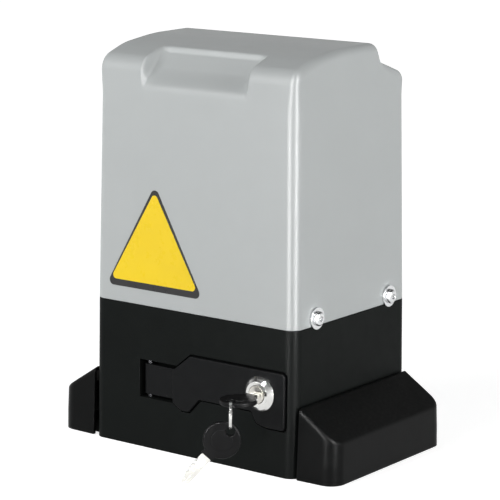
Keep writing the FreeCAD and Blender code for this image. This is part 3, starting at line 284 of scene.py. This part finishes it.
finishes = {
    "hoodGrey": {"colour": (186, 190, 190), "spread": 0.015, "roughness": 0.42, "roughnessSwing": 0.03,
                 "specular": 0.3, "bump": 0.10, "bumpDistance": 0.00004, "edgeRadius": 0.0008,
                 "wear": 0.15, "wornColour": (214, 217, 217), "dust": 0.02,
                 "surfaceValues": {"Fineness": 1500.0, "Cloud": 20.0}},
    "decalDark": {"colour": (22, 22, 23), "roughness": 0.32, "specular": 0.35, "bump": 0.05, "dust": 0.0,
                  "edgeRadius": 0.0002, "wear": 0.0},
    "decalYellow": {"colour": (253, 216, 0), "spread": 0.03, "roughness": 0.3, "specular": 0.4, "bump": 0.04,
                    "dust": 0.0, "edgeRadius": 0.0002, "wear": 0.0},
    "baseBlack": {"colour": (17, 20, 19), "spread": 0.10, "roughness": 0.46, "roughnessSwing": 0.05,
                  "specular": 0.04, "bump": 0.35, "bumpDistance": 0.00008, "edgeRadius": 0.0009, "wear": 0.35,
                  "wornColour": (40, 42, 42), "dust": 0.02,
                  "surfaceValues": {"Fineness": 1100.0, "Cloud": 30.0}},
    "coverBlack": {"colour": (15, 16, 16), "spread": 0.08, "roughness": 0.34, "roughnessSwing": 0.05,
                   "specular": 0.05, "bump": 0.30, "bumpDistance": 0.00007, "edgeRadius": 0.0022, "wear": 0.3,
                   "wornColour": (38, 39, 39), "dust": 0.02,
                   "surfaceValues": {"Fineness": 1200.0, "Cloud": 34.0}},
    "leverBlack": {"colour": (20, 21, 22), "spread": 0.08, "roughness": 0.36, "roughnessSwing": 0.05,
                   "specular": 0.06, "bump": 0.22, "bumpDistance": 0.00005, "edgeRadius": 0.0006,
                   "wear": 0.35, "wornColour": (46, 47, 48), "dust": 0.01,
                   "surfaceValues": {"Fineness": 1500.0, "Cloud": 40.0}},
    "chrome": {"colour": (202, 202, 200), "metallic": 1.0, "roughness": 0.13, "roughnessSwing": 0.04,
               "surface": "turned", "surfaceValues": turnedAbout((0.0666, -0.070, 0.0618), alongY, 2600.0),
               "bump": 0.08, "bumpDistance": 0.00002, "edgeRadius": 0.0003, "wear": 0.0, "dust": 0.0},
    "plugNickel": {"colour": (190, 188, 182), "metallic": 1.0, "roughness": 0.22, "surface": "turned",
                   "surfaceValues": turnedAbout((0.0666, -0.070, 0.0618), alongY, 3200.0),
                   "bump": 0.12, "bumpDistance": 0.00002, "edgeRadius": 0.0002, "dust": 0.0},
    "keyBlack": {"colour": (17, 17, 18), "spread": 0.08, "roughness": 0.38, "specular": 0.07, "bump": 0.2,
                 "edgeRadius": 0.0005, "wear": 0.3, "wornColour": (50, 50, 51), "dust": 0.0},
    "keyNickel": {"colour": (206, 205, 200), "metallic": 0.9, "roughness": 0.26, "surface": "brushed",
                  "surfaceValues": {"Stretch": (1.0, 1.0, 0.12), "Fineness": 2600.0},
                  "bump": 0.15, "bumpDistance": 0.00002, "edgeRadius": 0.0002, "dust": 0.0},
    "ringSteel": {"colour": (200, 200, 198), "metallic": 1.0, "roughness": 0.2,
                  "bump": 0.05, "edgeRadius": 0.0001, "dust": 0.0, "wear": 0.0},
    "brightSteel": {"colour": (205, 206, 207), "metallic": 1.0, "roughness": 0.2,
                    "bump": 0.06, "edgeRadius": 0.0003, "dust": 0.0, "wear": 0.0},
    "blackedSteel": {"colour": (52, 52, 54), "metallic": 1.0, "roughness": 0.42, "bump": 0.1,
                     "edgeRadius": 0.0003, "dust": 0.02},
    "zincSteel": {"colour": (178, 181, 184), "metallic": 1.0, "roughness": 0.32, "roughnessSwing": 0.08,
                  "spread": 0.1, "bump": 0.12, "edgeRadius": 0.0003, "dust": 0.03},
    "zincSheet": {"colour": (172, 176, 180), "metallic": 1.0, "roughness": 0.36, "roughnessSwing": 0.1,
                  "spread": 0.12, "bump": 0.1, "edgeRadius": 0.0004, "dust": 0.06,
                  "surfaceValues": {"Fineness": 900.0, "Cloud": 55.0}},
    "castAluminium": {"colour": (168, 170, 172), "metallic": 1.0, "roughness": 0.5, "roughnessSwing": 0.07,
                      "spread": 0.08, "bump": 0.55, "bumpDistance": 0.00018, "edgeRadius": 0.001, "wear": 0.5,
                      "wornColour": (200, 202, 204), "dust": 0.08,
                      "surfaceValues": {"Fineness": 700.0, "Cloud": 40.0}},
    "machinedSteel": {"colour": (176, 176, 175), "metallic": 1.0, "roughness": 0.28, "surface": "turned",
                      "surfaceValues": turnedAbout(outputCentre, alongY, 2400.0), "bump": 0.25,
                      "bumpDistance": 0.00003, "edgeRadius": 0.0003, "dust": 0.02},
    "rotorSteel": {"colour": (172, 172, 171), "metallic": 1.0, "roughness": 0.27, "surface": "turned",
                   "surfaceValues": turnedAbout(rotorCentre, alongZ, 2400.0), "bump": 0.25,
                   "bumpDistance": 0.00003, "edgeRadius": 0.0003, "dust": 0.02},
    "pinionSteel": {"colour": (152, 152, 152), "metallic": 1.0, "roughness": 0.34, "surface": "turned",
                    "surfaceValues": turnedAbout(outputCentre, alongY, 1800.0), "bump": 0.3,
                    "bumpDistance": 0.00004, "edgeRadius": 0.0005, "wear": 0.4,
                    "wornColour": (196, 196, 196), "dust": 0.03},
    "springSteel": {"colour": (120, 120, 122), "metallic": 1.0, "roughness": 0.36, "bump": 0.08,
                    "edgeRadius": 0.0001, "dust": 0.0},
    "bearingSteel": {"colour": (196, 198, 200), "metallic": 1.0, "roughness": 0.2, "surface": "turned",
                     "surfaceValues": turnedAbout(outputCentre, alongY, 3600.0), "bump": 0.12,
                     "bumpDistance": 0.00002, "edgeRadius": 0.0004, "dust": 0.0},
    "bearingSteelUpright": {"colour": (196, 198, 200), "metallic": 1.0, "roughness": 0.2, "surface": "turned",
                            "surfaceValues": turnedAbout(rotorCentre, alongZ, 3600.0), "bump": 0.12,
                            "bumpDistance": 0.00002, "edgeRadius": 0.0004, "dust": 0.0},
    "laminations": {"colour": (98, 100, 104), "metallic": 1.0, "roughness": 0.45, "surface": "brushed",
                    "surfaceValues": {"Stretch": (0.04, 0.04, 1.0), "Fineness": 1900.0}, "bump": 0.8,
                    "bumpDistance": 0.00012, "edgeRadius": 0.0003, "dust": 0.02},
    "bronze": {"colour": (176, 132, 76), "metallic": 1.0, "roughness": 0.32, "surface": "turned",
               "surfaceValues": turnedAbout(outputCentre, alongY, 2000.0), "bump": 0.2,
               "bumpDistance": 0.00003, "edgeRadius": 0.0004, "dust": 0.0},
    "copperWire": {"colour": (168, 84, 40), "metallic": 0.85, "roughness": 0.32, "surface": "brushed",
                   "surfaceValues": {"Stretch": (1.0, 1.0, 1.0), "Fineness": 900.0}, "bump": 0.8,
                   "bumpDistance": 0.0003, "edgeRadius": 0.0006, "dust": 0.0},
    "blackRubber": {"colour": (24, 24, 25), "roughness": 0.62, "specular": 0.3, "bump": 0.3,
                    "bumpDistance": 0.00006, "edgeRadius": 0.0004, "dust": 0.06},
    "capacitorWhite": {"colour": (222, 222, 216), "spread": 0.02, "roughness": 0.36, "bump": 0.1,
                       "edgeRadius": 0.0006, "dust": 0.05},
    "coilTape": {"colour": (214, 176, 44), "spread": 0.06, "roughness": 0.34, "surface": "brushed",
                 "surfaceValues": {"Stretch": (0.1, 0.1, 1.0), "Fineness": 700.0}, "bump": 0.3,
                 "bumpDistance": 0.0001, "edgeRadius": 0.0004, "dust": 0.03},
    "boardGreen": {"colour": (18, 84, 52), "spread": 0.1, "roughness": 0.28, "bump": 0.1,
                   "edgeRadius": 0.0002, "dust": 0.04, "wornColour": (150, 132, 84), "wear": 0.8},
    "railPlastic": {"colour": (206, 204, 194), "spread": 0.03, "roughness": 0.44, "bump": 0.12,
                    "edgeRadius": 0.0003, "dust": 0.04},
    "relayBlue": {"colour": (26, 84, 150), "spread": 0.05, "roughness": 0.34, "bump": 0.12,
                  "edgeRadius": 0.0004, "dust": 0.04},
    "terminalGreen": {"colour": (36, 128, 62), "spread": 0.05, "roughness": 0.38, "bump": 0.12,
                      "edgeRadius": 0.0003, "dust": 0.03},
}
materials = {name: makeMaterial(name, finish) for name, finish in finishes.items()}
print("materials made:", len(materials))

# which finish each part from the model carries
wears = {
    "hoodGrey": ["hood"],
    "decalDark": ["blank_decal"],
    "decalYellow": ["decal_field"],
    "baseBlack": ["base_housing"],
    "coverBlack": ["foot_cover_left", "foot_cover_right"],
    "leverBlack": ["release_lever"],
    "chrome": ["lock_barrel"],
    "plugNickel": ["lock_plug"],
    "keyBlack": ["key_bow", "spare_key_bow"],
    "keyNickel": ["key_blade", "spare_key_blade"],
    "ringSteel": ["key_ring"],
    "brightSteel": ["hood_screws", "hood_washers"],
    "blackedSteel": ["lever_pin"],
    "zincSteel": ["levelling_screws", "lock_nut", "lock_cam_screw", "gearbox_screws", "gearbox_feet_screws",
                  "motor_screws", "tray_screws", "pinion_key", "capacitor_clamp"],
    "zincSheet": ["component_tray", "lock_cam"],
    "castAluminium": ["gearbox_body", "gearbox_cover", "motor_flange", "motor_housing", "motor_cap"],
    "machinedSteel": ["output_shaft", "release_rod"],
    "rotorSteel": ["rotor_shaft"],
    "pinionSteel": ["output_pinion"],
    "springSteel": ["release_spring", "pinion_clip"],
    "bearingSteel": ["output_bearing_front", "output_bearing_rear"],
    "bearingSteelUpright": ["worm_bearing_lower", "worm_bearing_upper", "motor_bearing"],
    "laminations": ["rotor_core", "stator_core", "transformer_core"],
    "bronze": ["worm_wheel"],
    "copperWire": ["stator_winding"],
    "blackRubber": ["hood_seal", "oil_seal", "limit_sensor", "fuse_holder"],
    "capacitorWhite": ["run_capacitor"],
    "coilTape": ["transformer_coil"],
    "boardGreen": ["control_board"],
    "railPlastic": ["board_rails"],
    "relayBlue": ["relays"],
    "terminalGreen": ["terminal_strip"],
}


def dress(piece, finish):
    piece.data.materials.clear()
    piece.data.materials.append(materials[finish])


for finish, names in wears.items():
    for name in names:
        dress(nodes[name], finish)
undressed = sorted(set(nodes) - {n for names in wears.values() for n in names})
print("parts dressed:", len(nodes) - len(undressed), "left:", undressed)


# the hood in millimetres; its roof corners are (y, z, rounding) from front to back
hoodShape = {
    "seam": 112.3, "halfWidth": 96.018, "halfDepth": 74.518, "draft": 0.9, "draftFrom": 112.0, "wall": 3.0,
    "frontTop": 300.3, "frontRound": 14.0, "backTop": 288.9, "backRound": 9.5,
    "roofCorners": [(-46.0, 309.3, 60.0), (-12.0, 313.6, 200.0), (34.6, 314.2, 9.5), (41.2, 299.4, 5.0)],
    "uprightRound": 9.0, "roofRound": 6.5, "roundChange": (270.0, 292.0), "arcSteps": 10, "step": 1.2,
    "columns": [0, 12, 24, 36, 66, 78], "rimStart": 37, "rimStep": 0.7, "rimCount": 24, "columnGap": 1,
    "gripHalf": 50.0, "gripLow": 281.0, "gripSlope": 47.9, "gripRun": 38.0, "gripDrop": 2.4,
    "gripFloorHalf": 40.0, "gripFloorStart": 20.0, "gripFloorEnd": 33.0,
    "gripRim": 1.6, "gripSideRound": 3.4, "gripSideOut": 0.8, "gripAbove": 240, "gripBefore": 20,
    "screwY": 48.0, "screwZ": 118.0, "slotRadius": 3.1, "slotSteps": 12,
}


def hoodEdge(base, z):
    return base - (z - hoodShape["draftFrom"]) * math.tan(math.radians(hoodShape["draft"]))


# points along a path through corners of (y, z, rounding), with an arc at each corner
def roundedPath(corners, step):
    turnStep, longSpan, nearest = 0.12, 30, 0.02
    points = []
    for i, (y, z, radius) in enumerate(corners):
        here = Vector((y, z))
        if i in (0, len(corners) - 1) or radius == 0:
            points.append(here)
            continue
        before, after = Vector(corners[i - 1][:2]), Vector(corners[i + 1][:2])
        inward, outward = (before - here).normalized(), (after - here).normalized()
        turn = math.pi - inward.angle(outward)
        reach = radius * math.tan(turn / 2)
        start, end = here + inward * reach, here + outward * reach
        centre = here + (inward + outward).normalized() * (radius / math.cos(turn / 2))
        first = math.atan2(*(start - centre).yx)
        sweep = (math.atan2(*(end - centre).yx) - first + math.pi) % (2 * math.pi) - math.pi
        count = max(3, int(abs(sweep) * radius / step), int(abs(sweep) / turnStep))
        for k in range(count + 1):
            angle = first + sweep * k / count
            points.append(centre + Vector((math.cos(angle), math.sin(angle))) * radius)
    dense = [points[0]]
    for point in points[1:]:
        span = (point - dense[-1]).length
        count = max(1, math.ceil(span / (step * 3 if span > longSpan else step)))
        start = dense[-1]
        dense += [start.lerp(point, k / count) for k in range(1, count + 1)]
    return [p for i, p in enumerate(dense) if i == 0 or (p - dense[i - 1]).length > nearest]


def softMax(first, second, blend):
    gap = max(blend - abs(first - second), 0.0) / blend
    return max(first, second) + gap * gap * blend / 4


def easeStep(value, low, high):
    t = min(max((value - low) / (high - low), 0.0), 1.0)
    return t * t * (3 - 2 * t)


# how far the finger grip reaches in from this spot, square to its mouth
def gripDepth(x, y, z):
    h = hoodShape
    slope = math.radians(h["gripSlope"])
    fromLow = (y + hoodEdge(h["halfDepth"], h["gripLow"]), z - h["gripLow"])
    above = -fromLow[0] * math.sin(slope) + fromLow[1] * math.cos(slope)
    along = fromLow[0] * math.cos(slope) + fromLow[1] * math.sin(slope)
    side = easeStep(h["gripHalf"] + h["gripSideOut"] - abs(x), 0.0, h["gripSideRound"])
    shelf = easeStep(h["gripHalf"] - abs(x), 0.0, h["gripHalf"] - h["gripFloorHalf"])
    ends = easeStep(along, 0.0, h["gripFloorStart"])
    ends *= easeStep(h["gripRun"] - along, 0.0, h["gripRun"] - h["gripFloorEnd"])
    return softMax(above, 0.0, h["gripRim"]) * side + h["gripDrop"] * shelf * ends


# rows of points across the hood, one row to each point of its side outline
def hoodSkin(path, inset):
    h = hoodShape
    half = h["columns"] + [h["rimStart"] + h["rimStep"] * k for k in range(h["rimCount"])]
    across = sorted({x * side for x in half for side in (-1, 1)})
    slope = math.radians(h["gripSlope"])
    quarter = [math.pi / 2 * k / h["arcSteps"] for k in range(h["arcSteps"] + 1)]
    skin = []
    for i, (y, z) in enumerate(path):
        along = path[min(i + 1, len(path) - 1)] - path[max(i - 1, 0)]
        normal = Vector((-along.y, along.x)).normalized()
        roof = easeStep(z, *h["roundChange"])
        radius = h["uprightRound"] + (h["roofRound"] - h["uprightRound"]) * roof
        flat = hoodEdge(h["halfWidth"], z) - radius
        radius -= inset
        row = []
        for x in [-flat] + [x for x in across if abs(x) < flat - h["columnGap"]] + [flat]:
            sinks = [(x, inset)]
            if abs(x) == flat:
                sinks = [(x + math.copysign(radius * math.sin(a), x), inset + radius * (1 - math.cos(a)))
                         for a in (quarter if x > 0 else reversed(quarter))]
            row += [(aside, y - normal.x * sink, z - normal.y * sink) for aside, sink in sinks]
        if z > h["gripAbove"] and y < h["gripBefore"]:
            depths = [gripDepth(px, *(Vector((py, pz)) + normal * inset)) for px, py, pz in row]
            row = [(px, py + math.sin(slope) * depth, pz - math.cos(slope) * depth)
                   for (px, py, pz), depth in zip(row, depths)]
        if i in (0, len(path) - 1):
            row = [(px, py, h["seam"]) for px, py, pz in row]
        skin.append(row)
    return skin


# the lower edge of one flat side with a slot in it for each hood screw
def slotOutline(side, inset):
    h = hoodShape
    points = []
    for centre in (h["screwY"], -h["screwY"]):
        points.append((centre + h["slotRadius"], h["seam"]))
        for k in range(h["slotSteps"] + 1):
            angle = math.pi * k / h["slotSteps"]
            points.append((centre + h["slotRadius"] * math.cos(angle),
                           h["screwZ"] + h["slotRadius"] * math.sin(angle)))
        points.append((centre - h["slotRadius"], h["seam"]))
    return [(side * (hoodEdge(h["halfWidth"], z) - inset), y, z) for y, z in points]


def buildHood():
    h = hoodShape
    foot, front, back = (hoodEdge(h["halfDepth"], h[level]) for level in ("seam", "frontTop", "backTop"))
    path = roundedPath([(-foot, h["seam"], 0), (-front, h["frontTop"], h["frontRound"]), *h["roofCorners"],
                        (back, h["backTop"], h["backRound"]), (foot, h["seam"], 0)], h["step"])

    # the outer skin and the inner one are the same sheet of faces, wound opposite ways
    mesh = bmesh.new()
    sheets = []
    for inset in (0.0, h["wall"]):
        lines = hoodSkin(path, inset) + [slotOutline(side, inset) for side in (-1, 1)]
        made = [[mesh.verts.new([c / 1000 for c in point]) for point in line] for line in lines]
        grid, slots = made[:-2], made[-2:]
        quads = [(first[k], first[k + 1], second[k + 1], second[k])
                 for first, second in zip(grid, grid[1:]) for k in range(len(first) - 1)]
        quads.append([row[0] for row in grid] + slots[0])
        quads.append(([row[-1] for row in grid] + slots[1])[::-1])
        sheets.append(quads)
    for quad in sheets[0]:
        mesh.faces.new(quad)
    rim = [edge for edge in mesh.edges if edge.is_boundary]
    twin = {}
    for quad, inner in zip(*sheets):
        twin.update(zip(quad, inner))
        mesh.faces.new(inner[::-1])
    for edge in rim:
        first, second = edge.verts
        mesh.faces.new((first, second, twin[second], twin[first]))
        edge.smooth = False
        mesh.edges.get((twin[first], twin[second])).smooth = False
    bmesh.ops.recalc_face_normals(mesh, faces=mesh.faces)
    for face in mesh.faces:
        face.smooth = True
    data = bpy.data.meshes.new("hoodShell")
    mesh.to_mesh(data)
    mesh.free()
    piece = bpy.data.objects.new("hoodShell", data)
    bpy.context.scene.collection.objects.link(piece)
    weighted = piece.modifiers.new("flatFaces", "WEIGHTED_NORMAL")
    weighted.keep_sharp = True
    data.materials.append(materials["hoodGrey"])
    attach(piece, "hood")
    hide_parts("hood")
    print("hood built:", len(data.polygons), "faces")


buildHood()


studio = {
    "azimuth": 36.913, "elevation": 11.507, "roll": 0.322, "distance": 1.7429, "lens": 161.33,
    "aim": (0.0, 0.0, 0.13227), "aside": -0.00096, "above": 0.01681,
    "sensor": 36.0, "clip": (0.05, 50.0),
    "floorColour": (0.62, 0.62, 0.62), "floorRoughness": 0.9, "floorSpecular": 0.1, "floorHalf": 6.0,
    "floorLift": 0.80, "liftRange": (0.3, 2.0),  # the paper turns to full white over this distance
    "worldLight": 0.5, "ceiling": 0.08, "fallRange": (0.12, 0.6),  # the sky darkens upwards
}


# the two strips stand close to the near corner and light only its gloss
lamps = {
    "keyLamp": {"azimuth": -25, "elevation": 26, "distance": 2.2, "size": (1.4, 1.4), "power": 35.0},
    "sideLamp": {"azimuth": 95, "elevation": 16, "distance": 2.2, "size": (1.2, 1.4), "power": 26.0},
    "frontStrip": {"azimuth": 3, "elevation": 0, "distance": 0.33, "size": (0.016, 0.7), "power": 9.0,
                   "aim": (0.09, -0.07, 0.352), "glintOnly": True},
    "sideStrip": {"azimuth": 70, "elevation": 0, "distance": 0.33, "size": (0.016, 0.7), "power": 10.0,
                  "aim": (0.09, -0.07, 0.352), "glintOnly": True},
}


def buildCamera():
    turn, rise = math.radians(studio["azimuth"]), math.radians(studio["elevation"])
    back = Vector((math.sin(turn) * math.cos(rise), -math.cos(turn) * math.cos(rise), math.sin(rise)))
    right = Vector((math.cos(turn), math.sin(turn), 0.0))
    up = back.cross(right)
    tilt = math.radians(studio["roll"])
    across = right * math.cos(tilt) + up * math.sin(tilt)
    camera = bpy.data.objects.new("camera", bpy.data.cameras.new("camera"))
    camera.data.lens = studio["lens"]
    camera.data.sensor_width = studio["sensor"]
    camera.data.clip_start, camera.data.clip_end = studio["clip"]
    axes = Matrix((across, back.cross(across), back)).transposed()
    spot = Vector(studio["aim"]) + back * studio["distance"] + right * studio["aside"] + up * studio["above"]
    camera.matrix_world = Matrix.Translation(spot) @ axes.to_4x4()
    bpy.context.scene.collection.objects.link(camera)
    bpy.context.scene.camera = camera


def areaLamp(name, azimuth, elevation, distance, size, power, aim=(0, 0, 0.15), glintOnly=False):
    turn, rise = math.radians(azimuth), math.radians(elevation)
    away = Vector((math.sin(turn) * math.cos(rise), -math.cos(turn) * math.cos(rise), math.sin(rise)))
    lamp = bpy.data.objects.new(name, bpy.data.lights.new(name, "AREA"))
    lamp.data.shape = "RECTANGLE"
    lamp.data.size, lamp.data.size_y = size
    lamp.data.energy = power
    lamp.visible_camera = False
    lamp.visible_diffuse = not glintOnly
    lamp.location = Vector(aim) + away * distance
    lamp.rotation_euler = away.to_track_quat("Z", "Y").to_euler()
    bpy.context.scene.collection.objects.link(lamp)


# the background is looked at by the camera, straight or through something clear
def seenPlainly(tree):
    path = tree.nodes.new("ShaderNodeLightPath")
    return path, mathNode(tree, "MAXIMUM", path.outputs["Is Camera Ray"], path.outputs["Is Transmission Ray"])


def buildWorld():
    world = bpy.data.worlds.new("studio")
    world.use_nodes = True
    tree = world.node_tree
    tree.nodes.clear()
    output = tree.nodes.new("ShaderNodeOutputWorld")
    path, seen = seenPlainly(tree)
    direction = tree.nodes.new("ShaderNodeTexCoord").outputs["Generated"]
    split = tree.nodes.new("ShaderNodeSeparateXYZ")
    link(tree, direction, split.inputs[0])
    fall = rangeNode(tree, split.outputs["Z"], *studio["fallRange"], 1.0, studio["ceiling"])
    glossy = tree.nodes.new("ShaderNodeBackground")
    link(tree, fall, glossy.inputs["Strength"])
    plain = tree.nodes.new("ShaderNodeBackground")
    link(tree, mathNode(tree, "MULTIPLY", fall, studio["worldLight"]), plain.inputs["Strength"])
    white = tree.nodes.new("ShaderNodeBackground")
    for background in (glossy, plain, white):
        background.inputs["Color"].default_value = (1, 1, 1, 1)
    lit = tree.nodes.new("ShaderNodeMixShader")
    link(tree, path.outputs["Is Glossy Ray"], lit.inputs[0])
    link(tree, plain.outputs[0], lit.inputs[1])
    link(tree, glossy.outputs[0], lit.inputs[2])
    shown = tree.nodes.new("ShaderNodeMixShader")
    link(tree, seen, shown.inputs[0])
    link(tree, lit.outputs[0], shown.inputs[1])
    link(tree, white.outputs[0], shown.inputs[2])
    link(tree, shown.outputs[0], output.inputs["Surface"])
    bpy.context.scene.world = world


def buildFloor():
    mesh = bpy.data.meshes.new("floor")
    half = studio["floorHalf"]
    corners = [(-half, -half, 0), (half, -half, 0), (half, half, 0), (-half, half, 0)]
    mesh.from_pydata(corners, [], [(0, 1, 2, 3)])
    floor = bpy.data.objects.new("floor", mesh)
    bpy.context.scene.collection.objects.link(floor)
    material = bpy.data.materials.new("floorPaper")
    material.use_nodes = True
    tree = material.node_tree
    shader = tree.nodes["Principled BSDF"]
    shader.inputs["Base Color"].default_value = (*studio["floorColour"], 1)
    shader.inputs["Roughness"].default_value = studio["floorRoughness"]
    shader.inputs["Specular IOR Level"].default_value = studio["floorSpecular"]
    path, seen = seenPlainly(tree)
    seen = mathNode(tree, "MAXIMUM", seen, path.outputs["Is Glossy Ray"])
    shader.inputs["Emission Color"].default_value = (1, 1, 1, 1)
    position = tree.nodes.new("ShaderNodeNewGeometry").outputs["Position"]
    away = vectorNode(tree, "LENGTH", position).outputs["Value"]
    lift = rangeNode(tree, away, *studio["liftRange"], studio["floorLift"], 1.0)
    link(tree, mathNode(tree, "MULTIPLY", seen, lift), shader.inputs["Emission Strength"])
    mesh.materials.append(material)


buildCamera()
buildWorld()
buildFloor()
for name, settings in lamps.items():
    areaLamp(name, **settings)
bpy.context.scene.view_settings.view_transform = "Standard"
print("studio ready")
